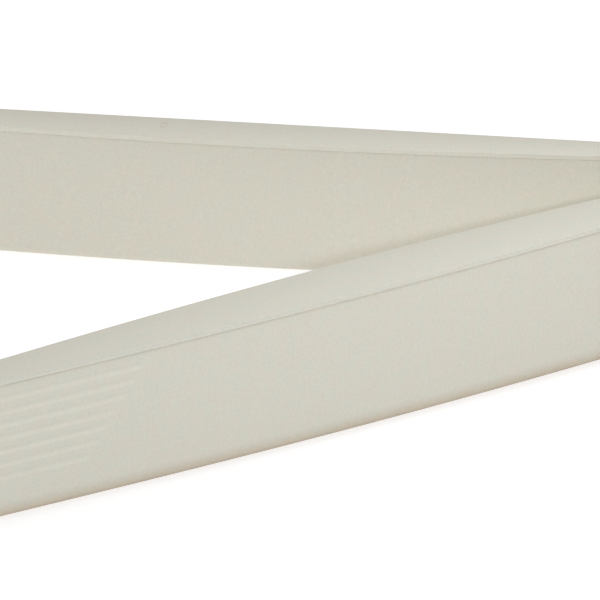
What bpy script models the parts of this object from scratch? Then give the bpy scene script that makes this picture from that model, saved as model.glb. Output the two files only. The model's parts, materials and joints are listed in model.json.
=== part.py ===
"""Folding tree guard tube: two box-shaped sleeves joined end to end by a pinned hinge.

Metres, +Z up. Each section stands on its long edge. The upper section lies along -X from
the hinge, and the lower, larger section swings about the hinge pin, from lying beside the
upper one to standing in line with it. The origin is the centre of the flat foot under the
upper section's hinge frame.

Each section is drawn in its own hinge frame: x is minus the distance from the pin's axis,
y is across the section, and z is up. A section is wider in the middle than at its ends.
"""
import math

import bmesh
import bpy
from mathutils import Vector

# Both sections
SECTION_LENGTH = 0.750      # pin axis to free end
END_GAP = 0.0005            # pin axis to the hinge frame's end face
WALL = 0.0020               # sleeve wall
CLEARANCE = 0.0003          # gap between touching pieces
STATIONS = 16               # cross-sections along a bowed sleeve
ARC_STEPS = 4               # steps round a rounded lower edge

# Clip-on cover
COVER_THICKNESS = 0.0020
LIP_DEPTH = 0.0030          # outer lip, measured from the cover's top
LIP_PROUD = 0.0002          # outer lip stands this far out of the sleeve's wall
REBATE = 0.0010             # sleeve wall thinned by this behind the lip
TONGUE_DEPTH = 0.0060       # inner tongue, measured from the cover's top
TONGUE_THICKNESS = 0.0012

# End frames
FRAME_LENGTH = 0.017
FRAME_WALL = 0.0020
RING_LENGTH = 0.005         # the part of a frame beyond the sleeve's end
FRAME_TOP_INSIDE = 0.0030   # thickness of the frame's top bar over the passage
FOOT = FRAME_WALL + CLEARANCE   # the frames lift the sleeves this far off the ground

# Hinge
PIN_OFFSET = 0.0075         # pin axis to the nearest sleeve wall, in either section
PIN_RADIUS = 0.0020
BARREL_RADIUS = 0.0045
KNUCKLES = 5
HINGE_BOTTOM = 0.010
HINGE_TOP = 0.084
WASHER_THICKNESS = 0.0010
LEAF_LENGTH = 0.012
LEAF_BITE = 0.0005          # overlap of a knuckle's leaf with its frame
ROUND_SEGMENTS = 20
PIN_HEAD_RADIUS = 0.0042
PIN_HEAD_HEIGHT = 0.0022
PIN_TAIL = 0.0040           # pin length below the lowest knuckle
GROOVE_RADIUS = 0.0015
GROOVE_HEIGHT = 0.0014
CLIP_THICKNESS = 0.0008
CLIP_RADIUS = 0.0038
CLIP_OPENING = math.radians(80)

# Rivets
RIVET_RADIUS = 0.0016
RIVET_HEAD_RADIUS = 0.0032
RIVET_HEAD_HEIGHT = 0.0010
RIVET_TAIL_RADIUS = 0.0025
RIVET_TAIL_HEIGHT = 0.0012
RIVET_INSET = 0.0110        # frame's end face to rivet axis
RIVET_SEGMENTS = 10

# Stiffening ribs on the lower sleeve's outer wall, near its free end
RIB_COUNT = 7
RIB_PITCH = 0.0093
RIB_HEIGHT = 0.00035        # low swells, barely proud of the wall
RIB_HALF_WIDTH = 0.0034
RIB_CREST_HALF_WIDTH = 0.0008
RIB_FIRST_BELOW_TOP = 0.0128
RIB_FIRST_START = 0.595     # top rib's inner end, from the pin axis
RIB_START_STEP = 0.0078     # each lower rib starts this much further along
RIB_RUN_OUT = 0.005         # length over which a rib rises from the wall
RIB_FINISH = 0.728

REST_ANGLE = math.radians(49.5)


class Section:
    """One half of the guard: its plan, height and lower edge."""

    def __init__(self, name, low_end, low_bow, high_end, high_bow, height, edge_radius, angle):
        self.name = name
        self.low_end = low_end
        self.low_bow = low_bow
        self.high_end = high_end
        self.high_bow = high_bow
        self.top = FOOT + height
        self.edge_radius = edge_radius
        self.angle = angle

    def walls(self, distance):
        """Outer faces of the two walls, across the section, at a distance from the pin."""
        belly = math.sin(math.pi * min(max(distance / SECTION_LENGTH, 0.0), 1.0))
        return self.low_end - self.low_bow * belly, self.high_end + self.high_bow * belly


UPPER_END_WIDTH = 0.020
LOWER_END_WIDTH = 0.032
HINGE_X = END_GAP + FRAME_LENGTH / 2
HINGE_Y = -PIN_OFFSET - UPPER_END_WIDTH / 2
UPPER = Section("upper", PIN_OFFSET, 0.025, PIN_OFFSET + UPPER_END_WIDTH, 0.0,
                height=0.0925, edge_radius=0.0040, angle=0.0)
LOWER = Section("lower", -PIN_OFFSET - LOWER_END_WIDTH, 0.012, -PIN_OFFSET, 0.015,
                height=0.0992, edge_radius=0.0090, angle=REST_ANGLE)

SHELL_PLASTIC = ("shell_plastic", (0.60, 0.58, 0.50), 0.55, 0.0)
COVER_PLASTIC = ("cover_plastic", (0.62, 0.60, 0.52), 0.52, 0.0)
FRAME_PLASTIC = ("frame_plastic", (0.52, 0.50, 0.43), 0.50, 0.0)
PIN_STEEL = ("pin_steel", (0.62, 0.62, 0.60), 0.32, 1.0)
RIVET_ALUMINIUM = ("rivet_aluminium", (0.80, 0.80, 0.79), 0.38, 1.0)


def clear_scene():
    for item in list(bpy.data.objects):
        bpy.data.objects.remove(item, do_unlink=True)


def material(spec):
    """A Principled material, made once for each name."""
    name, colour, roughness, metallic = spec
    found = bpy.data.materials.get(name)
    if found:
        return found
    made = bpy.data.materials.new(name)
    made.use_nodes = True
    shader = made.node_tree.nodes["Principled BSDF"]
    shader.inputs["Base Color"].default_value = (*colour, 1.0)
    shader.inputs["Roughness"].default_value = roughness
    shader.inputs["Metallic"].default_value = metallic
    return made


def mesh_from(bm, name):
    bmesh.ops.recalc_face_normals(bm, faces=bm.faces)
    mesh = bpy.data.meshes.new(name)
    bm.to_mesh(mesh)
    bm.free()
    mesh.shade_smooth()
    mesh.set_sharp_from_angle(angle=math.radians(30))
    return mesh


def add_object(name, mesh, spec, parent, location=(0, 0, 0), turn=0.0):
    if not mesh.materials:
        mesh.materials.append(material(spec))
    item = bpy.data.objects.new(name, mesh)
    bpy.context.scene.collection.objects.link(item)
    item.parent = parent
    item.location = location
    item.rotation_euler = (0, 0, turn)
    return item


def cut(item, tool, operation="DIFFERENCE"):
    """Apply a Boolean with a hidden tool object."""
    tool.hide_render = True
    tool.display_type = "WIRE"
    modifier = item.modifiers.new(tool.name, "BOOLEAN")
    modifier.operation = operation
    modifier.solver = "EXACT"
    modifier.object = tool


def steps(first, last, count):
    return [first + (last - first) * index / count for index in range(count + 1)]


def loft(name, distances, outline_at):
    """A closed solid through the outlines at the given distances from the pin."""
    bm = bmesh.new()
    rings = []
    for distance in distances:
        ring = [bm.verts.new((-distance, y, z)) for y, z in outline_at(distance)]
        rings.append(ring)
    count = len(rings[0])
    for near, far in zip(rings, rings[1:]):
        for index in range(count):
            after = (index + 1) % count
            bm.faces.new((near[index], near[after], far[after], far[index]))
    bm.faces.new(rings[0])
    bm.faces.new(list(reversed(rings[-1])))
    return mesh_from(bm, name)


def turned(name, profile, segments):
    """A solid of revolution about Z from (radius, height) points; radius 0 closes an end."""
    bm = bmesh.new()
    rings = []
    for radius, height in profile:
        if radius == 0:
            rings.append([bm.verts.new((0, 0, height))])
            continue
        ring = []
        for index in range(segments):
            turn = 2 * math.pi * index / segments
            ring.append(bm.verts.new((radius * math.cos(turn), radius * math.sin(turn), height)))
        rings.append(ring)
    for lower, upper in zip(rings, rings[1:]):
        for index in range(segments):
            after = (index + 1) % segments
            corners = [lower[index % len(lower)], lower[after % len(lower)],
                       upper[after % len(upper)], upper[index % len(upper)]]
            unique = list(dict.fromkeys(corners))
            bm.faces.new(unique)
    return mesh_from(bm, name)


def hollow_turned(name, inner, outer, bottom, top, segments):
    """A washer or tube about Z."""
    bm = bmesh.new()
    corners = [(inner, bottom), (outer, bottom), (outer, top), (inner, top)]
    columns = []
    for index in range(segments):
        turn = 2 * math.pi * index / segments
        column = [bm.verts.new((r * math.cos(turn), r * math.sin(turn), z)) for r, z in corners]
        columns.append(column)
    for index in range(segments):
        here = columns[index]
        there = columns[(index + 1) % segments]
        for corner in range(4):
            after = (corner + 1) % 4
            bm.faces.new((here[corner], there[corner], there[after], here[after]))
    return mesh_from(bm, name)


def lower_edge(low, high, bottom, radius):
    """Points round the two lower edges, from the low wall to the high wall."""
    points = []
    for step in range(ARC_STEPS + 1):
        turn = math.pi / 2 * step / ARC_STEPS
        points.append((low + radius - radius * math.cos(turn),
                       bottom + radius - radius * math.sin(turn)))
    for step in range(ARC_STEPS + 1):
        turn = math.pi / 2 * (1 - step / ARC_STEPS)
        points.append((high - radius + radius * math.cos(turn),
                       bottom + radius - radius * math.sin(turn)))
    return points


def box_outline(section, grow, top):
    """The section's closed outline, grown outwards on the walls and the bottom."""
    def outline_at(distance):
        low, high = section.walls(distance)
        radius = section.edge_radius + grow
        points = [(low - grow, top)]
        points += lower_edge(low - grow, high + grow, FOOT - grow, radius)
        points.append((high + grow, top))
        return points
    return outline_at


def rib_height(index, distance):
    """Height of a rib above the wall: it rises from its inner end and ends at the frame."""
    start = RIB_FIRST_START + index * RIB_START_STEP
    rise = min(max((distance - start) / RIB_RUN_OUT, 0.0), 1.0)
    fall = min(max((RIB_FINISH - distance) / RIB_RUN_OUT, 0.0), 1.0)
    return RIB_HEIGHT * min(rise, fall)


def rib_points(section, low, distance):
    """Outer-wall points over the ribs, from the top rib down."""
    points = []
    for index in range(RIB_COUNT):
        middle = section.top - RIB_FIRST_BELOW_TOP - index * RIB_PITCH
        crest = low - rib_height(index, distance)
        points.append((low, middle + RIB_HALF_WIDTH))
        points.append((crest, middle + RIB_CREST_HALF_WIDTH))
        points.append((crest, middle - RIB_CREST_HALF_WIDTH))
        points.append((low, middle - RIB_HALF_WIDTH))
    return points


def sleeve_outline(section, ribbed):
    """U-shaped wall with a rebate behind the cover's lip along each upper edge."""
    wall_top = section.top - COVER_THICKNESS - CLEARANCE
    rebate_bottom = section.top - LIP_DEPTH - CLEARANCE

    def outline_at(distance):
        low, high = section.walls(distance)
        points = [(low + REBATE, wall_top), (low + REBATE, rebate_bottom), (low, rebate_bottom)]
        if ribbed:
            points += rib_points(section, low, distance)
        points += lower_edge(low, high, FOOT, section.edge_radius)
        points += [(high, rebate_bottom), (high - REBATE, rebate_bottom)]
        points += [(high - REBATE, wall_top), (high - WALL, wall_top)]
        inner = lower_edge(low + WALL, high - WALL, FOOT + WALL, section.edge_radius - WALL)
        points += list(reversed(inner))
        points.append((low + WALL, wall_top))
        return points
    return outline_at


def cover_outline(section):
    """Flat plate with an outer lip and an inner tongue either side of each wall."""
    top = section.top
    under = top - COVER_THICKNESS
    lip_bottom = top - LIP_DEPTH
    tongue_bottom = top - TONGUE_DEPTH
    lip_inside = REBATE - CLEARANCE
    tongue_outside = WALL + CLEARANCE
    tongue_inside = tongue_outside + TONGUE_THICKNESS

    def outline_at(distance):
        low, high = section.walls(distance)
        low_side = [(low - LIP_PROUD, top), (low - LIP_PROUD, lip_bottom),
                    (low + lip_inside, lip_bottom), (low + lip_inside, under),
                    (low + tongue_outside, under), (low + tongue_outside, tongue_bottom),
                    (low + tongue_inside, tongue_bottom), (low + tongue_inside, under)]
        high_side = [(high - tongue_inside, under), (high - tongue_inside, tongue_bottom),
                     (high - tongue_outside, tongue_bottom), (high - tongue_outside, under),
                     (high - lip_inside, under), (high - lip_inside, lip_bottom),
                     (high + LIP_PROUD, lip_bottom), (high + LIP_PROUD, top)]
        return low_side + high_side
    return outline_at


def rivet_mesh():
    """A rivet along Z: domed head above the frame's wall, upset tail inside the sleeve."""
    grip = FRAME_WALL + CLEARANCE + WALL
    head = CLEARANCE
    tail = -grip - CLEARANCE
    profile = [(0, tail - RIVET_TAIL_HEIGHT), (RIVET_TAIL_RADIUS * 0.7, tail - RIVET_TAIL_HEIGHT),
               (RIVET_TAIL_RADIUS, tail), (RIVET_RADIUS, tail), (RIVET_RADIUS, head),
               (RIVET_HEAD_RADIUS, head), (RIVET_HEAD_RADIUS * 0.75, head + RIVET_HEAD_HEIGHT * 0.7),
               (0, head + RIVET_HEAD_HEIGHT)]
    return turned("rivet", profile, RIVET_SEGMENTS)


def rivet_places(section, distance, heights):
    """Rivet positions on the frame's two walls, with each wall's outward direction."""
    low, high = section.walls(distance)
    slope = math.pi / SECTION_LENGTH * math.cos(math.pi * distance / SECTION_LENGTH)
    grown = FRAME_WALL + CLEARANCE
    places = []
    for height in heights:
        places.append((Vector((-distance, low - grown, height)),
                       Vector((section.low_bow * slope, -1, 0)).normalized()))
        places.append((Vector((-distance, high + grown, height)),
                       Vector((section.high_bow * slope, 1, 0)).normalized()))
    return places


def hinge_levels():
    """Bottom and top of each knuckle, from the ground up."""
    gap = WASHER_THICKNESS + 2 * CLEARANCE
    length = (HINGE_TOP - HINGE_BOTTOM - (KNUCKLES - 1) * gap) / KNUCKLES
    levels = []
    for index in range(KNUCKLES):
        bottom = HINGE_BOTTOM + index * (length + gap)
        levels.append((bottom, bottom + length))
    return levels


def add_rivets(section, parent, frame_name, frame, sleeve, distance, heights):
    """Rivets through a frame and its sleeve, each with a clear hole in both."""
    hole_length = 0.020
    mesh = rivet_mesh()
    places = rivet_places(section, distance, heights)
    for number, (place, outward) in enumerate(places, start=1):
        turn = outward.to_track_quat("Z", "Y").to_euler()
        rivet = add_object(f"{frame_name}_rivet_{number}", mesh, RIVET_ALUMINIUM, parent, place)
        rivet.rotation_euler = turn
        hole = turned("hole", [(0, -hole_length / 2), (RIVET_RADIUS + CLEARANCE, -hole_length / 2),
                               (RIVET_RADIUS + CLEARANCE, hole_length / 2), (0, hole_length / 2)],
                      RIVET_SEGMENTS)
        tool = add_object(f"{frame_name}_hole_{number}", hole, FRAME_PLASTIC, parent, place)
        tool.rotation_euler = turn
        cut(frame, tool)
        cut(sleeve, tool)


def add_frame(section, parent, name, start, finish, pocket_start, pocket_finish):
    """A box-shaped end frame: a ring, with a pocket that takes the sleeve's end."""
    slices = 3
    outer = box_outline(section, FOOT, section.top)
    passage = box_outline(section, -WALL, section.top - FRAME_TOP_INSIDE)
    pocket = box_outline(section, CLEARANCE, section.top - COVER_THICKNESS)
    beyond = 0.001
    frame = add_object(name, loft(name, steps(start, finish, slices), outer), FRAME_PLASTIC, parent)
    through = steps(start - beyond, finish + beyond, slices)
    passage_tool = add_object(f"{name}_passage", loft("passage", through, passage),
                              FRAME_PLASTIC, parent)
    pocket_tool = add_object(f"{name}_pocket",
                             loft("pocket", steps(pocket_start, pocket_finish, slices), pocket),
                             FRAME_PLASTIC, parent)
    cut(frame, pocket_tool)
    cut(frame, passage_tool)
    return frame


def knuckle_outline(side):
    """Plan of a knuckle: a round barrel on the pin's axis and a leaf back to the frame."""
    leaf_depth = PIN_OFFSET - FOOT + LEAF_BITE
    points = [(-LEAF_LENGTH, side * leaf_depth), (-END_GAP - LEAF_BITE, side * leaf_depth)]
    for turn in steps(math.radians(80), math.radians(-120), ROUND_SEGMENTS // 2):
        points.append((BARREL_RADIUS * math.cos(turn), side * BARREL_RADIUS * math.sin(turn)))
    points.append((-LEAF_LENGTH, 0))
    return points


def upright(name, outline, bottom, top):
    """A prism from a plan outline."""
    bm = bmesh.new()
    lower = [bm.verts.new((x, y, bottom)) for x, y in outline]
    upper = [bm.verts.new((x, y, top)) for x, y in outline]
    for index in range(len(outline)):
        after = (index + 1) % len(outline)
        bm.faces.new((lower[index], lower[after], upper[after], upper[index]))
    bm.faces.new(list(reversed(lower)))
    bm.faces.new(upper)
    return mesh_from(bm, name)


def add_knuckles(section, parent, frame, levels, side):
    """Knuckles on the frame's hinge side; side is the sign of y from pin to section."""
    for number, (bottom, top) in enumerate(levels, start=1):
        knuckle = upright("knuckle", knuckle_outline(side), bottom, top)
        tool = add_object(f"{section.name}_knuckle_{number}", knuckle, FRAME_PLASTIC, parent)
        cut(frame, tool, "UNION")
    bore = turned("bore", [(0, 0), (PIN_RADIUS + CLEARANCE, 0),
                           (PIN_RADIUS + CLEARANCE, section.top), (0, section.top)], ROUND_SEGMENTS)
    cut(frame, add_object(f"{section.name}_bore", bore, FRAME_PLASTIC, parent))


def middle(level):
    return (level[0] + level[1]) / 2


def add_section(section, knuckle_levels, free_levels, knuckle_side):
    """A sleeve, its clip-on cover, its two end frames and their rivets."""
    name = section.name
    hinge = bpy.data.objects.new(f"{name}_hinge_axis", None)
    bpy.context.scene.collection.objects.link(hinge)
    hinge.location = (HINGE_X, HINGE_Y, 0)
    hinge.rotation_euler = (0, 0, section.angle)

    sleeve_start = END_GAP + RING_LENGTH + CLEARANCE
    sleeve_finish = SECTION_LENGTH - RING_LENGTH - CLEARANCE
    distances = set(steps(sleeve_start, sleeve_finish, STATIONS))
    ribbed = section is LOWER
    if ribbed:
        for index in range(RIB_COUNT):
            start = RIB_FIRST_START + index * RIB_START_STEP
            distances |= {start, start + RIB_RUN_OUT}
        distances |= {RIB_FINISH - RIB_RUN_OUT, RIB_FINISH}
    sleeve_mesh = loft(f"{name}_sleeve", sorted(distances), sleeve_outline(section, ribbed))
    sleeve = add_object(f"{name}_sleeve", sleeve_mesh, SHELL_PLASTIC, hinge)

    cover_start = END_GAP + FRAME_LENGTH + CLEARANCE
    cover_finish = SECTION_LENGTH - FRAME_LENGTH - CLEARANCE
    cover_mesh = loft(f"{name}_cover", steps(cover_start, cover_finish, STATIONS),
                      cover_outline(section))
    add_object(f"{name}_cover", cover_mesh, COVER_PLASTIC, hinge)

    frame_end = END_GAP + FRAME_LENGTH
    past = 0.001
    hinge_frame = add_frame(section, hinge, f"{name}_hinge_frame", END_GAP, frame_end,
                            END_GAP + RING_LENGTH, frame_end + past)
    add_knuckles(section, hinge, hinge_frame, knuckle_levels, knuckle_side)
    ring_start = SECTION_LENGTH - FRAME_LENGTH
    end_frame = add_frame(section, hinge, f"{name}_end_frame", ring_start, SECTION_LENGTH,
                          ring_start - past, SECTION_LENGTH - RING_LENGTH)

    heights = (middle(free_levels[0]), middle(free_levels[-1]))
    add_rivets(section, hinge, f"{name}_hinge_frame", hinge_frame, sleeve,
               END_GAP + RIVET_INSET, heights)
    add_rivets(section, hinge, f"{name}_end_frame", end_frame, sleeve,
               SECTION_LENGTH - RIVET_INSET, heights)
    return hinge


def add_pin(parent):
    """Hinge pin with a domed head on top and a groove for its clip at the bottom."""
    levels = hinge_levels()
    head = levels[-1][1] + CLEARANCE
    tail = levels[0][0] - PIN_TAIL
    groove = levels[0][0] - CLEARANCE - GROOVE_HEIGHT
    profile = [(0, tail), (PIN_RADIUS * 0.7, tail), (PIN_RADIUS, tail + PIN_RADIUS * 0.3),
               (PIN_RADIUS, groove), (GROOVE_RADIUS, groove),
               (GROOVE_RADIUS, groove + GROOVE_HEIGHT), (PIN_RADIUS, groove + GROOVE_HEIGHT),
               (PIN_RADIUS, head), (PIN_HEAD_RADIUS, head),
               (PIN_HEAD_RADIUS, head + PIN_HEAD_HEIGHT * 0.5),
               (PIN_HEAD_RADIUS * 0.7, head + PIN_HEAD_HEIGHT), (0, head + PIN_HEAD_HEIGHT)]
    add_object("hinge_pin", turned("hinge_pin", profile, ROUND_SEGMENTS), PIN_STEEL, parent)
    add_clip(parent, groove + (GROOVE_HEIGHT - CLIP_THICKNESS) / 2)


def add_clip(parent, bottom):
    """Open retaining ring in the pin's groove."""
    bm = bmesh.new()
    inner = GROOVE_RADIUS + CLEARANCE
    corners = [(inner, bottom), (CLIP_RADIUS, bottom),
               (CLIP_RADIUS, bottom + CLIP_THICKNESS), (inner, bottom + CLIP_THICKNESS)]
    columns = []
    for turn in steps(CLIP_OPENING / 2, 2 * math.pi - CLIP_OPENING / 2, ROUND_SEGMENTS):
        column = [bm.verts.new((r * math.cos(turn), r * math.sin(turn), z)) for r, z in corners]
        columns.append(column)
    for here, there in zip(columns, columns[1:]):
        for corner in range(4):
            after = (corner + 1) % 4
            bm.faces.new((here[corner], there[corner], there[after], here[after]))
    bm.faces.new(columns[0])
    bm.faces.new(list(reversed(columns[-1])))
    add_object("pin_clip", mesh_from(bm, "pin_clip"), PIN_STEEL, parent)


def add_washers(parent):
    """A plain washer in each gap between knuckles."""
    mesh = hollow_turned("hinge_washer", PIN_RADIUS + CLEARANCE, BARREL_RADIUS,
                         0, WASHER_THICKNESS, ROUND_SEGMENTS)
    for number, (bottom, top) in enumerate(hinge_levels()[:-1], start=1):
        add_object(f"hinge_washer_{number}", mesh, PIN_STEEL, parent, (0, 0, top + CLEARANCE))


def build():
    clear_scene()
    levels = hinge_levels()
    upper_hinge = add_section(UPPER, levels[0::2], levels[1::2], 1)
    add_section(LOWER, levels[1::2], levels[0::2], -1)
    add_pin(upper_hinge)
    add_washers(upper_hinge)
    bpy.context.view_layer.update()


build()
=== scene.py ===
"""Looks of the folding tree guard tube: fine shells, hardware, plastics, light and camera."""
import json
import math

import bmesh
import bpy
from mathutils import Matrix, Vector


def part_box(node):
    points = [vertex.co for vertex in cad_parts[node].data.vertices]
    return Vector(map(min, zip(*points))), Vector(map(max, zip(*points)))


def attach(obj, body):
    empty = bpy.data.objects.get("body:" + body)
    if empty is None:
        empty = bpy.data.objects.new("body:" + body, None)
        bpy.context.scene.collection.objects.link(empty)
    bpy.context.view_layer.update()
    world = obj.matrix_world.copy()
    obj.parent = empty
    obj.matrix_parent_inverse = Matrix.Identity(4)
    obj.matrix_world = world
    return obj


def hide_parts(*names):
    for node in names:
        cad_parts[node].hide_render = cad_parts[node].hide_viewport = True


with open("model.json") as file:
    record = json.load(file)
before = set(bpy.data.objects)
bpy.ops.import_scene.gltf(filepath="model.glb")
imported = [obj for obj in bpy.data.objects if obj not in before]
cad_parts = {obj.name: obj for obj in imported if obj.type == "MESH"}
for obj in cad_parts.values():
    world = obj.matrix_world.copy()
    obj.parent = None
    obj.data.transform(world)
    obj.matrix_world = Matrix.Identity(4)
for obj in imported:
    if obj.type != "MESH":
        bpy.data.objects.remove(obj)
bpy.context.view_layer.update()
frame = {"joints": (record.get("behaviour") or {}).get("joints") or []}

JOINTS = {joint["name"]: joint for joint in frame["joints"]}
HINGE_AXIS = Vector(JOINTS["fold_hinge"]["pos_m"])

# ---------------------------------------------------------------- sizes of the part, in metres

SECTION_LENGTH = 0.750          # from the pin to the free end
END_GAP = 0.0005                # from the pin's axis to the face of a hinge frame
CLEARANCE = 0.0003              # between neighbouring pieces
REST_ANGLE = math.radians(49.5)

# Sleeves and covers
WALL = 0.0020
COVER_THICKNESS = 0.0020
LIP_DEPTH = 0.0030
LIP_PROUD = 0.0002              # the lips stand out of the walls
SEAM_GAP = 0.0001               # the lips all but close on the sleeves
REBATE = 0.0010
TONGUE_DEPTH = 0.0060
TONGUE_THICKNESS = 0.0012
UPPER_END_WIDTH = 0.020
UPPER_FRONT_BOW = 0.025
UPPER_EDGE_RADIUS = 0.0040
UPPER_LIP_RADIUS = 0.0002
LOWER_END_WIDTH = 0.032
LOWER_FRONT_BOW = 0.012
LOWER_BACK_BOW = 0.015
LOWER_EDGE_RADIUS = 0.0090
LOWER_LIP_RADIUS = 0.0012

# Stiffening ribs on the lower sleeve's front wall, counted from the top one down
RIB_COUNT = 7
RIB_PITCH = 0.0093
RIB_HEIGHT = 0.00035
RIB_HALF_WIDTH = 0.0034
RIB_FIRST_BELOW_TOP = 0.0128
RIB_FIRST_START = 0.595         # from the pin
RIB_START_STEP = 0.0078         # each rib starts further from the pin than the one above
RIB_RUN_OUT = 0.006
RIB_FINISH = 0.728

# End frames
FRAME_LENGTH = 0.017
FRAME_WALL = 0.0020
RING_LENGTH = 0.005             # the part of a frame past its sleeve's end
POCKET_LENGTH = FRAME_LENGTH - RING_LENGTH
FRAME_TOP_INSIDE = 0.0030
FRAME_REACH = FRAME_WALL + CLEARANCE    # from a sleeve's face to the frame's outer face
FOOT = FRAME_REACH              # a sleeve's underside stands this far above the ground

# Hinge
PIN_OFFSET = 0.0075             # from the pin's axis to the facing wall of each section
PIN_RADIUS = 0.0020
BARREL_RADIUS = 0.0045
BARREL_START = math.radians(80)     # the free part of a knuckle's round, in plan
BARREL_FINISH = math.radians(-120)
LEAF_LENGTH = 0.012
LEAF_BITE = 0.0005
KNUCKLES = 5
HINGE_BOTTOM = 0.010
HINGE_TOP = 0.084
WASHER_THICKNESS = 0.0010
PIN_HEAD_RADIUS = 0.0042
PIN_HEAD_HEIGHT = 0.0022
PIN_HEAD_RIM = 0.25             # share of the head's height under its dome
PIN_TAIL = 0.0040
PIN_TAIL_ROUND = ((0.0, 0.0), (0.70, 0.0), (0.93, 0.18), (1.0, 0.35))   # out and up, in radii
GROOVE_RADIUS = 0.0015
GROOVE_HEIGHT = 0.0014
CLIP_THICKNESS = 0.0008
CLIP_RADIUS = 0.0038
CLIP_OPENING = math.radians(80)

# Rivets
RIVET_RADIUS = 0.0016
RIVET_INSET = 0.0110            # from the frame's end face
RIVET_HEAD_RADIUS = 0.0032
RIVET_HEAD_HEIGHT = 0.0010
RIVET_HEAD_LIFT = 0.00003       # the head all but touches the frame
RIVET_RIM_EASE = 0.0001
RIVET_RIM_HEIGHT = 0.00025
RIVET_DOME_START = 0.0003
RIVET_DOME_SHARES = (0.94, 0.86, 0.76, 0.64, 0.52, 0.40)    # of the head's radius
RIVET_DOME_CURVE = 2.4          # power of the share by which the dome falls away
# Shares of the shank's radius, and depths below the top of the dome
RIVET_DIMPLE = ((0.62, 0.00003), (0.55, 0.0002), (0.50, 0.0006), (0.0, 0.00065))
RIVET_TAIL_RADIUS = 0.0025
RIVET_TAIL_HEIGHT = 0.0012
RIVET_TAIL_ROUND = 0.0008

# Roundings and eased edges
FINE_RADIUS = 0.0002
SHOULDER_RADIUS = 0.0004
FRAME_EDGE_RADIUS = 0.0008
FRAME_EASE = 0.0005
MOUTH_EASE = 0.0003
KNUCKLE_EASE = 0.0004
PIN_EASE = 0.0002
RING_EASE = 0.00015
EASE_MIDDLE = 0.3               # the middle of an eased edge stands in by this share of it

# Fineness of the meshes
STATIONS = 120                  # along each section
SMALL_RADIUS = 0.0015           # corners up to this radius get the fewer steps
FILLET_STEPS = 3
EDGE_STEPS = 10
RIB_STEPS = 12
RUN_OUT_STEPS = 4
FRAME_STEPS = 4
ROUND_SEGMENTS = 48
PIN_HEAD_STEPS = 8
RIVET_SEGMENTS = 32
RIVET_TAIL_STEPS = 4
MERGE_DISTANCE = 1e-7
SHELL_SHARP = math.radians(40)  # edges that turn by more than this are shown sharp
HARD_SHARP = math.radians(35)

# ---------------------------------------------------------------- finishes

# Noise scales are in waves per metre; a span is the two noise values that a remap runs between
SHELL_COLOUR = (0.716, 0.678, 0.571)
SHELL_ROUGHNESS = 0.55
# The cover is a little paler than the sleeve: partly painted light on its top faces
COVER_COLOUR = (0.742, 0.708, 0.606)
COVER_ROUGHNESS = 0.52
FRAME_COLOUR = (0.600, 0.580, 0.500)
FRAME_ROUGHNESS = 0.50
PLASTIC_SPECULAR = 0.35
MOTTLE_SCALE = 520.0
MOTTLE_SPAN = (0.30, 0.70)
MOTTLE_TINTS = ((0.972, 0.972, 0.970), (1.028, 1.028, 1.030))
PATCH_SCALE = 105.0
PATCH_SPAN = (0.36, 0.64)
PATCH_TINTS = ((1.012, 0.994, 0.988), (0.988, 1.005, 1.004))    # warmer, then cooler
GLOSS_SCALE = 180.0
GLOSS_SPREAD = 0.10             # how much the roughness varies
GRAIN_SCALE = 1500.0
GRAIN_STRENGTH = 0.25
GRAIN_DEPTH = 0.00008

# Painted highlight and shade, grime, soil and a stain
CREST_HIGHLIGHT_TINT = (1.040, 1.040, 1.040)       # painted highlight: rib crests paler
# Painted shade along each cover's joint, patchy like grime
SEAM_SHADE_AND_GRIME = (0.230, 0.140, 0.050)
SEAM_SHADE_AND_DIRT = {"upper": 0.01, "lower": 0.16}      # share of painted shade and grime on the joint under each cover
SEAM_REACH = 0.0020             # the painted shade and grime fade out this far above and below the joint
SEAM_BREAKS = (40.0, 0.30, 0.75, 0.60)          # noise scale, its span, least strength
# Layers that darken each sleeve towards its foot: height reached above the foot, tint on the ground
# line
SOIL_AND_PAINTED_SHADE = {
    # upper: painted shade, darker towards the bottom and along the foot
    "upper": ((0.070, (0.950, 0.950, 0.950)), (0.0040, (0.925, 0.920, 0.920))),
    # lower: brown soil with painted contact shade along the foot
    "lower": ((0.0135, (0.690, 0.600, 0.520)), (0.0052, (0.705, 0.660, 0.628))),
}
SOIL_AND_SHADE_BREAKS = (90.0, 0.25, 0.75, 0.85)          # noise scale, its span, least strength
STAIN_TINT = (0.935, 0.900, 0.880)
STAIN_PLACE = (-0.421, -0.0055, 0.0021, 0.0052)     # centre and half-widths, along and across
STAIN_LINE = (0.10, 0.45)       # where the ring's line starts to fade and ends, in half-widths

# Metals
STEEL_COLOUR = (0.60, 0.60, 0.58)
STEEL_ROUGHNESS = 0.34
STEEL_MARKS = 900.0             # noise scale of the drawn or turned marks
STEEL_STRETCH = (1.0, 1.0, 0.08)    # marks drawn out along the pin
ALUMINIUM_COLOUR = (0.78, 0.78, 0.77)
ALUMINIUM_ROUGHNESS = 0.36
ALUMINIUM_MARKS = 1200.0
DULL_SCALE = 260.0
DULL_SPAN = (0.35, 0.70)
DULL_SHADE = 0.72               # brightness of a dull patch, as a share of the clean metal
DULL_SHARE = 0.55
MARK_SPREAD = 0.18              # how much the roughness varies
MARK_STRENGTH = 0.20
MARK_DEPTH = 0.00006

# ---------------------------------------------------------------- stage, light and camera

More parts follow.
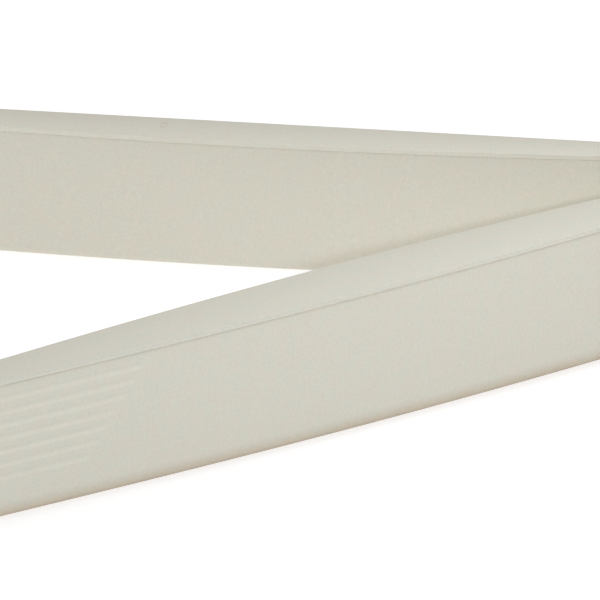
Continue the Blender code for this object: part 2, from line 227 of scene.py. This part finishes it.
FLOOR_RADIUS = 14.0
FLOOR_SEGMENTS = 96
FLOOR_DROP = 0.0002             # the floor lies just clear of the part's foot
FLOOR_COLOUR = (0.40, 0.40, 0.40)
FLOOR_ROUGHNESS = 0.9
FLOOR_SPECULAR = 0.1
FLOOR_GLOW = 0.76               # a lit table top, which leaves soft shadows
SKY_STRENGTH = 0.11
WHITE = (1.0, 1.0, 1.0, 1.0)
NEUTRAL = (1.0, 1.0, 1.0)
WARM = (1.03, 1.00, 0.97)
COOL = (0.97, 1.00, 1.05)
BLUE = (0.88, 1.00, 1.12)
MIDDLE = Vector((-0.25, -0.15, 0.05))   # about the middle of what the camera sees
# name, azimuth and elevation in degrees, distance, size, power, colour
LIGHTS = (
    ("left_high", -100, 60, 4.0, 1.6, 66.0, NEUTRAL),
    ("left_low", -60, 22, 4.0, 1.6, 14.0, WARM),
    ("right_front", 53, 51, 1.1, 0.55, 3.9, COOL),
    ("right_back", 140, 55, 1.2, 0.6, 2.6, COOL),
    ("front", 10, 17.5, 4.0, 0.10, 25.0, BLUE),
)
CAMERA_AZIMUTH = math.radians(9.956)
CAMERA_ELEVATION = math.radians(18.633)
CAMERA_DISTANCE = 15.0
CLIP_START = 0.5
CLIP_END = 60.0
SENSOR_WIDTH = 36.0
VIEW_WIDTH = 0.4203             # width of the view at the camera's aim
AIM_ALONG = -0.3113             # aim, from the origin along +X
AIM_RIGHT = -0.0140             # then across the view
AIM_UP = -0.0306                # then up the view


class Section:
    """One half of the guard: its plan, height, lower edge and place."""

    def __init__(self, name, low_end, low_bow, high_end, high_bow, edge_radius, lip_radius,
                 angle):
        self.name = name
        self.low_end = low_end
        self.low_bow = low_bow
        self.high_end = high_end
        self.high_bow = high_bow
        self.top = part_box(f"{name}_cover")[1].z
        self.edge_radius = edge_radius
        self.lip_radius = lip_radius
        self.body = f"{name}_section"
        self.lid = f"{name}_lid"
        self.place = Matrix.Translation(HINGE_AXIS) @ Matrix.Rotation(angle, 4, "Z")

    def walls(self, distance):
        """Outer faces of the two walls, across the section, at a distance from the pin."""
        belly = math.sin(math.pi * min(max(distance / SECTION_LENGTH, 0.0), 1.0))
        return self.low_end - self.low_bow * belly, self.high_end + self.high_bow * belly


UPPER = Section("upper", low_end=PIN_OFFSET, low_bow=UPPER_FRONT_BOW,
                high_end=PIN_OFFSET + UPPER_END_WIDTH, high_bow=0.0,
                edge_radius=UPPER_EDGE_RADIUS, lip_radius=UPPER_LIP_RADIUS, angle=0.0)
LOWER = Section("lower", low_end=-PIN_OFFSET - LOWER_END_WIDTH, low_bow=LOWER_FRONT_BOW,
                high_end=-PIN_OFFSET, high_bow=LOWER_BACK_BOW,
                edge_radius=LOWER_EDGE_RADIUS, lip_radius=LOWER_LIP_RADIUS, angle=REST_ANGLE)


# ---------------------------------------------------------------- geometry helpers

def steps(first, last, count):
    """Evenly spaced values from first to last, both included."""
    return [first + (last - first) * index / count for index in range(count + 1)]


def rounded(corners):
    """Turn (y, z, radius) corners into points, with an arc at each corner that has a radius."""
    points = []
    count = len(corners)
    for index, (y, z, radius) in enumerate(corners):
        here = Vector((y, z))
        if radius <= 0:
            points.append(here)
            continue
        before = Vector(corners[index - 1][:2])
        after = Vector(corners[(index + 1) % count][:2])
        entering = (before - here).normalized()
        leaving = (after - here).normalized()
        half = entering.angle(leaving) / 2
        reach = radius / math.tan(half)
        start = here + entering * reach
        centre = here + (entering + leaving).normalized() * (radius / math.sin(half))
        sweep = math.pi - 2 * half
        sign = 1 if entering.x * leaving.y - entering.y * leaving.x < 0 else -1
        arm = start - centre
        arc_steps = EDGE_STEPS if radius > SMALL_RADIUS else FILLET_STEPS
        for turn in steps(0.0, sign * sweep, arc_steps):
            points.append(centre + Vector((arm.x * math.cos(turn) - arm.y * math.sin(turn),
                                           arm.x * math.sin(turn) + arm.y * math.cos(turn))))
    return points


def finish_mesh(bm, name, section=None, sharp=SHELL_SHARP):
    """Merge, smooth and name a mesh, and put it where its section stands."""
    bmesh.ops.remove_doubles(bm, verts=bm.verts, dist=MERGE_DISTANCE)
    bmesh.ops.recalc_face_normals(bm, faces=bm.faces)
    mesh = bpy.data.meshes.new(name)
    bm.to_mesh(mesh)
    bm.free()
    if section:
        mesh.transform(section.place)
    mesh.shade_smooth()
    mesh.set_sharp_from_angle(angle=sharp)
    return mesh


def add_piece(node, mesh, material, body):
    """A shown piece that rides on a body and stands for a CAD node."""
    item = bpy.data.objects.new(f"{node}_shell", mesh)
    bpy.context.scene.collection.objects.link(item)
    mesh.materials.append(material)
    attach(item, body)
    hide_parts(node)


def skin(bm, rings, joined=False):
    """Faces between successive rings of points; the two ends are joined up or capped."""
    made = [[bm.verts.new(point) for point in ring] for ring in rings]
    following = made[1:] + made[:1] if joined else made[1:]
    count = len(made[0])
    for near, far in zip(made, following):
        for index in range(count):
            after = (index + 1) % count
            bm.faces.new((near[index], near[after], far[after], far[index]))
    if not joined:
        bm.faces.new(made[0])
        bm.faces.new(list(reversed(made[-1])))


def loft(name, section, distances, outline_at):
    """A solid along a section, from its outline at each distance from the pin."""
    bm = bmesh.new()
    rings = []
    for distance in distances:
        rings.append([(-distance, point.x, point.y) for point in outline_at(distance)])
    skin(bm, rings)
    return finish_mesh(bm, name, section)


def mark_crests(mesh, section):
    """Store how far each point stands out of the low wall, as a share of a rib's height."""
    back = section.place.inverted()
    crest_highlight = mesh.attributes.new("crest_highlight", "FLOAT", "POINT")
    for vertex, mark in zip(mesh.vertices, crest_highlight.data):
        point = back @ vertex.co
        low = section.walls(-point.x)[0]
        mark.value = min(max((low - point.y) / RIB_HEIGHT, 0.0), 1.0)


def turned(bm, profile, place, segments):
    """A solid of revolution about Z from (radius, height) points, added to bm."""
    rings = []
    for radius, height in profile:
        ring = []
        count = 1 if radius == 0 else segments
        for index in range(count):
            turn = 2 * math.pi * index / segments
            point = Vector((radius * math.cos(turn), radius * math.sin(turn), height))
            ring.append(bm.verts.new(place @ point))
        rings.append(ring)
    for lower, upper in zip(rings, rings[1:]):
        for index in range(segments):
            after = (index + 1) % segments
            corners = [lower[index % len(lower)], lower[after % len(lower)],
                       upper[after % len(upper)], upper[index % len(upper)]]
            bm.faces.new(list(dict.fromkeys(corners)))


# ---------------------------------------------------------------- sleeves and covers

def rib_height(index, distance):
    """Height of a rib, which rises smoothly from its inner end and falls before the frame."""
    start = RIB_FIRST_START + index * RIB_START_STEP
    rise = min(max((distance - start) / RIB_RUN_OUT, 0.0), 1.0)
    fall = min(max((RIB_FINISH - distance) / RIB_RUN_OUT, 0.0), 1.0)
    share = min(rise, fall)
    return RIB_HEIGHT * share * share * (3 - 2 * share)


def rib_points(section, low, distance):
    """Outer-wall points over the ribs, from the top rib down."""
    points = []
    for index in range(RIB_COUNT):
        middle = section.top - RIB_FIRST_BELOW_TOP - index * RIB_PITCH
        height = rib_height(index, distance)
        for place in steps(1.0, -1.0, RIB_STEPS):
            swell = height * (1 + math.cos(math.pi * place)) / 2
            points.append((low - swell, middle + place * RIB_HALF_WIDTH, 0))
    return points


def sleeve_outline(section, ribbed):
    """U-shaped wall with a rebate behind the cover's lip along each upper edge."""
    wall_top = section.top - COVER_THICKNESS - CLEARANCE
    shoulder = section.top - LIP_DEPTH - CLEARANCE
    edge = section.edge_radius

    def outline_at(distance):
        low, high = section.walls(distance)
        corners = [(low + REBATE, wall_top, FINE_RADIUS), (low + REBATE, shoulder, 0),
                   (low, shoulder, SHOULDER_RADIUS)]
        if ribbed:
            corners += rib_points(section, low, distance)
        corners += [(low, FOOT, edge), (high, FOOT, edge)]
        corners += [(high, shoulder, SHOULDER_RADIUS), (high - REBATE, shoulder, 0)]
        corners += [(high - REBATE, wall_top, FINE_RADIUS), (high - WALL, wall_top, FINE_RADIUS)]
        corners += [(high - WALL, FOOT + WALL, edge - WALL), (low + WALL, FOOT + WALL, edge - WALL)]
        corners.append((low + WALL, wall_top, FINE_RADIUS))
        return rounded(corners)
    return outline_at


def cover_outline(section):
    """Flat plate with an outer lip and an inner tongue either side of each wall."""
    top = section.top
    under = top - COVER_THICKNESS
    lip_bottom = top - LIP_DEPTH - CLEARANCE + SEAM_GAP
    tongue_bottom = top - TONGUE_DEPTH
    lip_inside = REBATE - CLEARANCE
    tongue_outside = WALL + CLEARANCE
    tongue_inside = tongue_outside + TONGUE_THICKNESS
    half = [(-LIP_PROUD, top, section.lip_radius), (-LIP_PROUD, lip_bottom, FINE_RADIUS),
            (lip_inside, lip_bottom, FINE_RADIUS), (lip_inside, under, 0),
            (tongue_outside, under, 0), (tongue_outside, tongue_bottom, FINE_RADIUS),
            (tongue_inside, tongue_bottom, FINE_RADIUS), (tongue_inside, under, 0)]

    def outline_at(distance):
        low, high = section.walls(distance)
        corners = [(low + y, z, radius) for y, z, radius in half]
        corners += [(high - y, z, radius) for y, z, radius in reversed(half)]
        return rounded(corners)
    return outline_at


def make_sleeve(section, material):
    start = END_GAP + RING_LENGTH + CLEARANCE
    finish = SECTION_LENGTH - RING_LENGTH - CLEARANCE
    distances = set(steps(start, finish, STATIONS))
    ribbed = section is LOWER
    if ribbed:
        for index in range(RIB_COUNT):
            rib_start = RIB_FIRST_START + index * RIB_START_STEP
            distances |= set(steps(rib_start, rib_start + RIB_RUN_OUT, RUN_OUT_STEPS))
        distances |= set(steps(RIB_FINISH - RIB_RUN_OUT, RIB_FINISH, RUN_OUT_STEPS))
    mesh = loft(f"{section.name}_sleeve_shell", section, sorted(distances),
                sleeve_outline(section, ribbed))
    if ribbed:
        # the crest shares drive a painted highlight on the rib crests
        mark_crests(mesh, section)
    add_piece(f"{section.name}_sleeve", mesh, material, section.body)


def make_cover(section, material):
    start = END_GAP + FRAME_LENGTH + CLEARANCE
    finish = SECTION_LENGTH - FRAME_LENGTH - CLEARANCE
    mesh = loft(f"{section.name}_cover_shell", section, steps(start, finish, STATIONS),
                cover_outline(section))
    add_piece(f"{section.name}_cover", mesh, material, section.lid)


# ---------------------------------------------------------------- end frames

def frame_loop(section, grow, top, distance):
    """A loop round the section, set out from the sleeve's faces by grow, under a flat top."""
    low, high = section.walls(distance)
    radius = section.edge_radius + grow
    corners = [(low - grow, top, FRAME_EDGE_RADIUS), (low - grow, FOOT - grow, radius),
               (high + grow, FOOT - grow, radius), (high + grow, top, FRAME_EDGE_RADIUS)]
    return [(-distance, point.x, point.y) for point in rounded(corners)]


def frame_rings(section, start, finish, pocket_first):
    """Loops down the outside of a frame, across its end and back through its inside.

    The pocket is the wider part of the inside, which takes the sleeve's end. It opens at
    the finish if it comes first on the way back, and at the start if it comes last.
    """
    ease = FRAME_EASE

    def outer(distance, inset):
        return frame_loop(section, FRAME_REACH - inset, section.top - inset, distance)

    def inner(distance, outset):
        top = section.top - FRAME_TOP_INSIDE + outset
        return frame_loop(section, outset - WALL, top, distance)

    def pocket(distance, outset):
        top = section.top - COVER_THICKNESS + outset
        return frame_loop(section, CLEARANCE + outset, top, distance)

    if pocket_first:
        mouth, back = pocket, inner
        step_at = finish - POCKET_LENGTH
    else:
        mouth, back = inner, pocket
        step_at = start + POCKET_LENGTH
    loops = [outer(start + ease, 0)]
    loops += [outer(place, 0) for place in steps(start + 2 * ease, finish - 2 * ease, FRAME_STEPS)]
    loops.append(outer(finish - ease, 0))
    loops.append(outer(finish - ease * EASE_MIDDLE, ease * EASE_MIDDLE))
    loops.append(outer(finish, ease))
    loops.append(mouth(finish, MOUTH_EASE))
    loops.append(mouth(finish - MOUTH_EASE, 0))
    loops.append(mouth(step_at, 0))
    loops.append(back(step_at, 0))
    loops.append(back(start + MOUTH_EASE, 0))
    loops.append(back(start, MOUTH_EASE))
    loops.append(outer(start, ease))
    loops.append(outer(start + ease * EASE_MIDDLE, ease * EASE_MIDDLE))
    return loops


def hinge_levels():
    """Bottom and top of each knuckle, from the ground up."""
    gap = WASHER_THICKNESS + 2 * CLEARANCE
    length = (HINGE_TOP - HINGE_BOTTOM - (KNUCKLES - 1) * gap) / KNUCKLES
    bottoms = [HINGE_BOTTOM + index * (length + gap) for index in range(KNUCKLES)]
    return [(bottom, bottom + length) for bottom in bottoms]


def knuckle_outline(side, inset):
    """Plan of a knuckle, drawn in by inset for its eased top and bottom edges."""
    depth = PIN_OFFSET - FRAME_REACH + LEAF_BITE
    radius = BARREL_RADIUS - inset
    points = [(-LEAF_LENGTH + inset, side * depth), (-END_GAP - LEAF_BITE, side * depth)]
    for turn in steps(BARREL_START, BARREL_FINISH, ROUND_SEGMENTS // 2):
        points.append((radius * math.cos(turn), side * radius * math.sin(turn)))
    points.append((-LEAF_LENGTH + inset, side * inset))
    return points


def add_knuckles(bm, levels, side):
    ease = KNUCKLE_EASE
    middle = ease * EASE_MIDDLE
    for bottom, top in levels:
        rings = []
        for z, inset in ((bottom, ease), (bottom + middle, middle), (bottom + ease, 0),
                         (top - ease, 0), (top - middle, middle), (top, ease)):
            rings.append([(x, y, z) for x, y in knuckle_outline(side, inset)])
        skin(bm, rings)


def make_frames(section, material, levels, side):
    """The frame with the section's knuckles, and the plain one at its free end."""
    hinge = bmesh.new()
    skin(hinge, frame_rings(section, END_GAP, END_GAP + FRAME_LENGTH, pocket_first=True),
         joined=True)
    add_knuckles(hinge, levels, side)
    end = bmesh.new()
    skin(end, frame_rings(section, SECTION_LENGTH - FRAME_LENGTH, SECTION_LENGTH,
                          pocket_first=False), joined=True)
    for bm, node in ((hinge, f"{section.name}_hinge_frame"), (end, f"{section.name}_end_frame")):
        mesh = finish_mesh(bm, f"{node}_shell", section, HARD_SHARP)
        add_piece(node, mesh, material, section.body)


# ---------------------------------------------------------------- rivets and hinge pin

def rivet_places(section, distance, heights):
    """Rivet frames on the two walls, +Z out of the wall, in the same order as the CAD nodes."""
    low, high = section.walls(distance)
    slope = math.pi / SECTION_LENGTH * math.cos(math.pi * distance / SECTION_LENGTH)
    places = []
    for height in heights:
        sides = ((low - FRAME_REACH, Vector((section.low_bow * slope, -1, 0))),
                 (high + FRAME_REACH, Vector((section.high_bow * slope, 1, 0))))
        for y, outward in sides:
            turn = outward.normalized().to_track_quat("Z", "Y").to_matrix().to_4x4()
            places.append(Matrix.Translation((-distance, y, height)) @ turn)
    return places


def rivet_profile():
    """Upset tail, shank, and a domed head with a dimple where the mandrel broke off."""
    tail = -(FRAME_WALL + CLEARANCE + WALL + CLEARANCE)
    end = tail - RIVET_TAIL_HEIGHT
    profile = [(0, end)]
    for turn in steps(math.radians(-90), 0.0, RIVET_TAIL_STEPS):
        profile.append((RIVET_TAIL_RADIUS - RIVET_TAIL_ROUND * (1 - math.cos(turn)),
                        end + RIVET_TAIL_ROUND * (1 + math.sin(turn))))
    head = RIVET_HEAD_LIFT
    profile += [(RIVET_TAIL_RADIUS, tail), (RIVET_RADIUS, tail), (RIVET_RADIUS, head),
                (RIVET_HEAD_RADIUS - RIVET_RIM_EASE, head),
                (RIVET_HEAD_RADIUS, head + RIVET_RIM_EASE),
                (RIVET_HEAD_RADIUS, head + RIVET_RIM_HEIGHT)]
    dome = CLEARANCE + RIVET_HEAD_HEIGHT
    for share in RIVET_DOME_SHARES:
        fall = (dome - head - RIVET_DOME_START) * share ** RIVET_DOME_CURVE
        profile.append((RIVET_HEAD_RADIUS * share, dome - fall))
    for share, depth in RIVET_DIMPLE:
        profile.append((RIVET_RADIUS * share, dome - depth))
    return profile


def make_rivets(section, material, free_levels):
    """Four rivets through each frame, level with the other section's end knuckles."""
    heights = [(bottom + top) / 2 for bottom, top in (free_levels[0], free_levels[-1])]
    groups = (("hinge_frame", END_GAP + RIVET_INSET),
              ("end_frame", SECTION_LENGTH - RIVET_INSET))
    for group, distance in groups:
        places = rivet_places(section, distance, heights)
        for number, place in enumerate(places, start=1):
            bm = bmesh.new()
            turned(bm, rivet_profile(), place, RIVET_SEGMENTS)
            node = f"{section.name}_{group}_rivet_{number}"
            mesh = finish_mesh(bm, node, section, HARD_SHARP)
            add_piece(node, mesh, material, section.body)


def make_pin(material):
    """Hinge pin with a domed head, a clip groove and a rounded tail."""
    levels = hinge_levels()
    head = levels[-1][1] + CLEARANCE
    tail = levels[0][0] - PIN_TAIL
    groove = levels[0][0] - CLEARANCE - GROOVE_HEIGHT
    ease = PIN_EASE
    profile = [(PIN_RADIUS * out, tail + PIN_RADIUS * up) for out, up in PIN_TAIL_ROUND]
    profile += [(PIN_RADIUS, groove - ease), (PIN_RADIUS - ease, groove), (GROOVE_RADIUS, groove),
                (GROOVE_RADIUS, groove + GROOVE_HEIGHT), (PIN_RADIUS - ease, groove + GROOVE_HEIGHT),
                (PIN_RADIUS, groove + GROOVE_HEIGHT + ease), (PIN_RADIUS, head),
                (PIN_HEAD_RADIUS - ease, head), (PIN_HEAD_RADIUS, head + ease)]
    for turn in steps(0, math.pi / 2, PIN_HEAD_STEPS):
        rise = PIN_HEAD_RIM + (1 - PIN_HEAD_RIM) * math.sin(turn)
        profile.append((PIN_HEAD_RADIUS * math.cos(turn), head + PIN_HEAD_HEIGHT * rise))
    profile[-1] = (0, head + PIN_HEAD_HEIGHT)
    bm = bmesh.new()
    turned(bm, profile, Matrix.Identity(4), ROUND_SEGMENTS)
    mesh = finish_mesh(bm, "hinge_pin_shell", UPPER, HARD_SHARP)
    add_piece("hinge_pin", mesh, material, UPPER.body)


def ring_rings(inner, outer, bottom, top, turns):
    """Eased rectangular sections round Z, one for each turn."""
    ease = RING_EASE
    corners = [(inner, bottom), (outer - ease, bottom), (outer, bottom + ease),
               (outer, top - ease), (outer - ease, top), (inner, top)]
    return [[(r * math.cos(turn), r * math.sin(turn), z) for r, z in corners] for turn in turns]


def make_washers(material):
    turns = steps(0.0, 2 * math.pi, ROUND_SEGMENTS)[:-1]
    for number, (bottom, top) in enumerate(hinge_levels()[:-1], start=1):
        base = top + CLEARANCE
        bm = bmesh.new()
        rings = ring_rings(PIN_RADIUS + CLEARANCE, BARREL_RADIUS, base, base + WASHER_THICKNESS,
                           turns)
        skin(bm, rings, joined=True)
        node = f"hinge_washer_{number}"
        mesh = finish_mesh(bm, node, UPPER, HARD_SHARP)
        add_piece(node, mesh, material, UPPER.body)


def make_clip(material):
    """Open retaining ring in the pin's groove."""
    groove = hinge_levels()[0][0] - CLEARANCE - GROOVE_HEIGHT
    bottom = groove + (GROOVE_HEIGHT - CLIP_THICKNESS) / 2
    turns = steps(CLIP_OPENING / 2, 2 * math.pi - CLIP_OPENING / 2, ROUND_SEGMENTS)
    bm = bmesh.new()
    skin(bm, ring_rings(GROOVE_RADIUS + CLEARANCE, CLIP_RADIUS, bottom, bottom + CLIP_THICKNESS,
                        turns))
    mesh = finish_mesh(bm, "pin_clip", UPPER, HARD_SHARP)
    add_piece("pin_clip", mesh, material, UPPER.body)


# ---------------------------------------------------------------- materials

# A Mix node has sockets for each kind of data; these are the factor and the two colours
MIX_INPUTS = (0, 6, 7)
MIX_OUTPUT = 2


class Nodes:
    """Short calls for building a material's node tree."""

    def __init__(self, name):
        self.material = bpy.data.materials.new(name)
        self.material.use_nodes = True
        self.tree = self.material.node_tree
        self.shader = self.tree.nodes["Principled BSDF"]
        self.coordinates = self.tree.nodes.new("ShaderNodeTexCoord").outputs["Object"]

    def link(self, output, target):
        self.tree.links.new(output, target)

    def fill(self, target, value):
        if isinstance(value, (int, float, tuple)):
            target.default_value = value
        else:
            self.link(value, target)

    def noise(self, scale, detail=2.0, roughness=0.5, stretch=None):
        source = self.coordinates
        if stretch:
            mapping = self.tree.nodes.new("ShaderNodeMapping")
            mapping.inputs["Scale"].default_value = stretch
            self.link(source, mapping.inputs["Vector"])
            source = mapping.outputs["Vector"]
        node = self.tree.nodes.new("ShaderNodeTexNoise")
        self.link(source, node.inputs["Vector"])
        node.inputs["Scale"].default_value = scale
        node.inputs["Detail"].default_value = detail
        node.inputs["Roughness"].default_value = roughness
        return node.outputs["Fac"]

    def math(self, operation, first, second=0.0):
        node = self.tree.nodes.new("ShaderNodeMath")
        node.operation = operation
        self.fill(node.inputs[0], first)
        self.fill(node.inputs[1], second)
        return node.outputs[0]

    def remap(self, value, low, high, start, finish):
        """Run smoothly from start to finish as the value goes from low to high."""
        node = self.tree.nodes.new("ShaderNodeMapRange")
        node.interpolation_type = "SMOOTHSTEP"
        self.fill(node.inputs["Value"], value)
        node.inputs["From Min"].default_value = low
        node.inputs["From Max"].default_value = high
        node.inputs["To Min"].default_value = start
        node.inputs["To Max"].default_value = finish
        return node.outputs["Result"]

    def mix(self, factor, first, second, blend="MIX"):
        node = self.tree.nodes.new("ShaderNodeMix")
        node.data_type = "RGBA"
        node.blend_type = blend
        for index, value in zip(MIX_INPUTS, (factor, first, second)):
            self.fill(node.inputs[index], (*value, 1.0) if isinstance(value, tuple) else value)
        return node.outputs[MIX_OUTPUT]

    def axis(self, letter):
        node = self.tree.nodes.new("ShaderNodeSeparateXYZ")
        self.link(self.coordinates, node.inputs[0])
        return node.outputs[letter]

    def stored(self, name):
        """A value that the mesh keeps at its points."""
        node = self.tree.nodes.new("ShaderNodeAttribute")
        node.attribute_name = name
        return node.outputs["Fac"]

    def uneven(self, strength, breaks):
        """A strength that comes and goes: breaks is a noise scale, its span and the least share."""
        scale, low, high, least = breaks
        share = self.remap(self.noise(scale, detail=4.0, roughness=0.6), low, high, least, 1.0)
        return self.math("MULTIPLY", strength, share)

    def ring(self, place):
        """Strength of a dried ring, 1 on its line: place is its centre and two half-widths."""
        middle_x, middle_y, half_x, half_y = place
        along = self.math("DIVIDE", self.math("SUBTRACT", self.axis("X"), middle_x), half_x)
        across = self.math("DIVIDE", self.math("SUBTRACT", self.axis("Y"), middle_y), half_y)
        squared = self.math("ADD", self.math("POWER", along, 2.0), self.math("POWER", across, 2.0))
        away = self.math("ABSOLUTE", self.math("SUBTRACT", self.math("SQRT", squared), 1.0))
        return self.remap(away, *STAIN_LINE, 1.0, 0.0)

    def vary_roughness(self, noise, spread, middle):
        rough = self.math("ADD", self.math("MULTIPLY", noise, spread), middle - spread / 2)
        self.link(rough, self.shader.inputs["Roughness"])

    def bump(self, height, strength, depth):
        node = self.tree.nodes.new("ShaderNodeBump")
        node.inputs["Strength"].default_value = strength
        node.inputs["Distance"].default_value = depth
        self.link(height, node.inputs["Height"])
        self.link(node.outputs["Normal"], self.shader.inputs["Normal"])


def tinted(colour, tint):
    return tuple(channel * share for channel, share in zip(colour, tint))


def plastic(name, colour, roughness, seam=None, soil_and_shade=(), stain=None, painted_crest_highlight=False):
    """Moulded matte plastic: fine grain, patches of warmer and cooler grey, a little dirt and a
    stain, and painted shade and highlight where asked.
    """
    nodes = Nodes(name)
    mottle = nodes.remap(nodes.noise(MOTTLE_SCALE, detail=3.0, roughness=0.6), *MOTTLE_SPAN, 0.0, 1.0)
    base = nodes.mix(mottle, *(tinted(colour, tint) for tint in MOTTLE_TINTS))
    patches = nodes.remap(nodes.noise(PATCH_SCALE), *PATCH_SPAN, 0.0, 1.0)
    base = nodes.mix(1.0, base, nodes.mix(patches, *PATCH_TINTS), "MULTIPLY")
    # painted highlight on the rib crests, by how far each point stands out
    if painted_crest_highlight:
        base = nodes.mix(nodes.stored("crest_highlight"), base, CREST_HIGHLIGHT_TINT, "MULTIPLY")
    height = nodes.axis("Z")
    # painted shade along the cover's joint, patchy like grime
    if seam is not None:
        seam_height, darkening_share = seam
        away = nodes.math("ABSOLUTE", nodes.math("SUBTRACT", height, seam_height))
        seam_darkening = nodes.uneven(nodes.remap(away, 0.0, SEAM_REACH, 1.0, 0.0), SEAM_BREAKS)
        base = nodes.mix(nodes.math("MULTIPLY", seam_darkening, darkening_share), base, SEAM_SHADE_AND_GRIME)
    # soil and painted shade, darker towards the foot
    for darkened_height, tint in soil_and_shade:
        near_ground = nodes.remap(height, FOOT, FOOT + darkened_height, 1.0, 0.0)
        base = nodes.mix(nodes.uneven(near_ground, SOIL_AND_SHADE_BREAKS), base, tint, "MULTIPLY")
    if stain is not None:
        base = nodes.mix(nodes.ring(stain), base, STAIN_TINT, "MULTIPLY")
    nodes.link(base, nodes.shader.inputs["Base Color"])
    nodes.vary_roughness(nodes.noise(GLOSS_SCALE, detail=3.0), GLOSS_SPREAD, roughness)
    nodes.shader.inputs["Specular IOR Level"].default_value = PLASTIC_SPECULAR
    nodes.bump(nodes.noise(GRAIN_SCALE), GRAIN_STRENGTH, GRAIN_DEPTH)
    return nodes.material


def metal(name, colour, roughness, scale, stretch=None):
    """Metal with fine drawn or turned marks and dull patches."""
    nodes = Nodes(name)
    dull = nodes.remap(nodes.noise(DULL_SCALE, detail=4.0, roughness=0.6), *DULL_SPAN, 0.0, 1.0)
    darker = tuple(channel * DULL_SHADE for channel in colour)
    base = nodes.mix(nodes.math("MULTIPLY", dull, DULL_SHARE), colour, darker)
    nodes.link(base, nodes.shader.inputs["Base Color"])
    nodes.shader.inputs["Metallic"].default_value = 1.0
    marks = nodes.noise(scale, detail=3.0, roughness=0.6, stretch=stretch)
    nodes.vary_roughness(marks, MARK_SPREAD, roughness)
    nodes.bump(marks, MARK_STRENGTH, MARK_DEPTH)
    return nodes.material


# ---------------------------------------------------------------- floor, light and camera

def make_floor():
    """A pale round floor, wide enough to fill a low view from far off."""
    bm = bmesh.new()
    bmesh.ops.create_circle(bm, cap_ends=True, segments=FLOOR_SEGMENTS, radius=FLOOR_RADIUS)
    mesh = finish_mesh(bm, "floor")
    floor = bpy.data.objects.new("floor", mesh)
    bpy.context.scene.collection.objects.link(floor)
    floor.location.z = -FLOOR_DROP
    nodes = Nodes("floor_paint")
    nodes.shader.inputs["Base Color"].default_value = (*FLOOR_COLOUR, 1.0)
    nodes.shader.inputs["Roughness"].default_value = FLOOR_ROUGHNESS
    nodes.shader.inputs["Specular IOR Level"].default_value = FLOOR_SPECULAR
    nodes.shader.inputs["Emission Color"].default_value = WHITE
    nodes.shader.inputs["Emission Strength"].default_value = FLOOR_GLOW
    mesh.materials.append(nodes.material)


def make_world():
    world = bpy.data.worlds.new("studio")
    world.use_nodes = True
    background = world.node_tree.nodes["Background"]
    background.inputs["Color"].default_value = WHITE
    background.inputs["Strength"].default_value = SKY_STRENGTH
    bpy.context.scene.world = world
    bpy.context.scene.view_settings.view_transform = "Standard"


def heading(azimuth, elevation):
    """Unit vector towards an azimuth, turned from -Y towards +X, and an elevation."""
    return Vector((math.sin(azimuth) * math.cos(elevation),
                   -math.cos(azimuth) * math.cos(elevation), math.sin(elevation)))


def add_light(name, azimuth, elevation, distance, size, power, colour):
    """A soft square light that faces the middle of the view."""
    data = bpy.data.lights.new(name, "AREA")
    data.shape = "SQUARE"
    data.size = size
    data.energy = power
    data.color = colour
    light = bpy.data.objects.new(name, data)
    bpy.context.scene.collection.objects.link(light)
    away = heading(math.radians(azimuth), math.radians(elevation))
    light.location = MIDDLE + away * distance
    light.rotation_mode = "QUATERNION"
    light.rotation_quaternion = away.to_track_quat("Z", "Y")
    light.visible_camera = False


def make_camera():
    """A long lens, which keeps the two sections' edges all but parallel."""
    across = Vector((math.cos(CAMERA_AZIMUTH), math.sin(CAMERA_AZIMUTH), 0))
    back = heading(CAMERA_AZIMUTH, CAMERA_ELEVATION)
    up = back.cross(across)
    aim = Vector((AIM_ALONG, 0, FOOT)) + across * AIM_RIGHT + up * AIM_UP
    data = bpy.data.cameras.new("camera")
    data.sensor_width = SENSOR_WIDTH
    data.lens = SENSOR_WIDTH * CAMERA_DISTANCE / VIEW_WIDTH
    data.clip_start = CLIP_START
    data.clip_end = CLIP_END
    camera = bpy.data.objects.new("camera", data)
    bpy.context.scene.collection.objects.link(camera)
    camera.location = aim + back * CAMERA_DISTANCE
    camera.rotation_mode = "QUATERNION"
    camera.rotation_quaternion = (-back).to_track_quat("-Z", "Y")
    bpy.context.scene.camera = camera


def main():
    levels = hinge_levels()
    # For each section: its own knuckles, the other section's, and the side its wall lies on
    grips = {UPPER: (levels[0::2], levels[1::2], 1), LOWER: (levels[1::2], levels[0::2], -1)}
    frame_plastic = plastic("frame_plastic_finish", FRAME_COLOUR, FRAME_ROUGHNESS)
    steel = metal("pin_steel_finish", STEEL_COLOUR, STEEL_ROUGHNESS, STEEL_MARKS, STEEL_STRETCH)
    aluminium = metal("rivet_aluminium_finish", ALUMINIUM_COLOUR, ALUMINIUM_ROUGHNESS,
                      ALUMINIUM_MARKS)
    for section, (own_levels, free_levels, side) in grips.items():
        seam = (section.top - LIP_DEPTH - CLEARANCE, SEAM_SHADE_AND_DIRT[section.name])
        shell = plastic(f"{section.name}_shell_finish", SHELL_COLOUR, SHELL_ROUGHNESS, seam,
                        SOIL_AND_PAINTED_SHADE[section.name], painted_crest_highlight=section is LOWER)
        stain = STAIN_PLACE if section is UPPER else None
        cover = plastic(f"{section.name}_cover_finish", COVER_COLOUR, COVER_ROUGHNESS, seam,
                        stain=stain)
        make_sleeve(section, shell)
        make_cover(section, cover)
        make_frames(section, frame_plastic, own_levels, side)
        make_rivets(section, aluminium, free_levels)
    make_pin(steel)
    make_washers(steel)
    make_clip(steel)
    make_floor()
    make_world()
    for light in LIGHTS:
        add_light(*light)
    make_camera()


main()
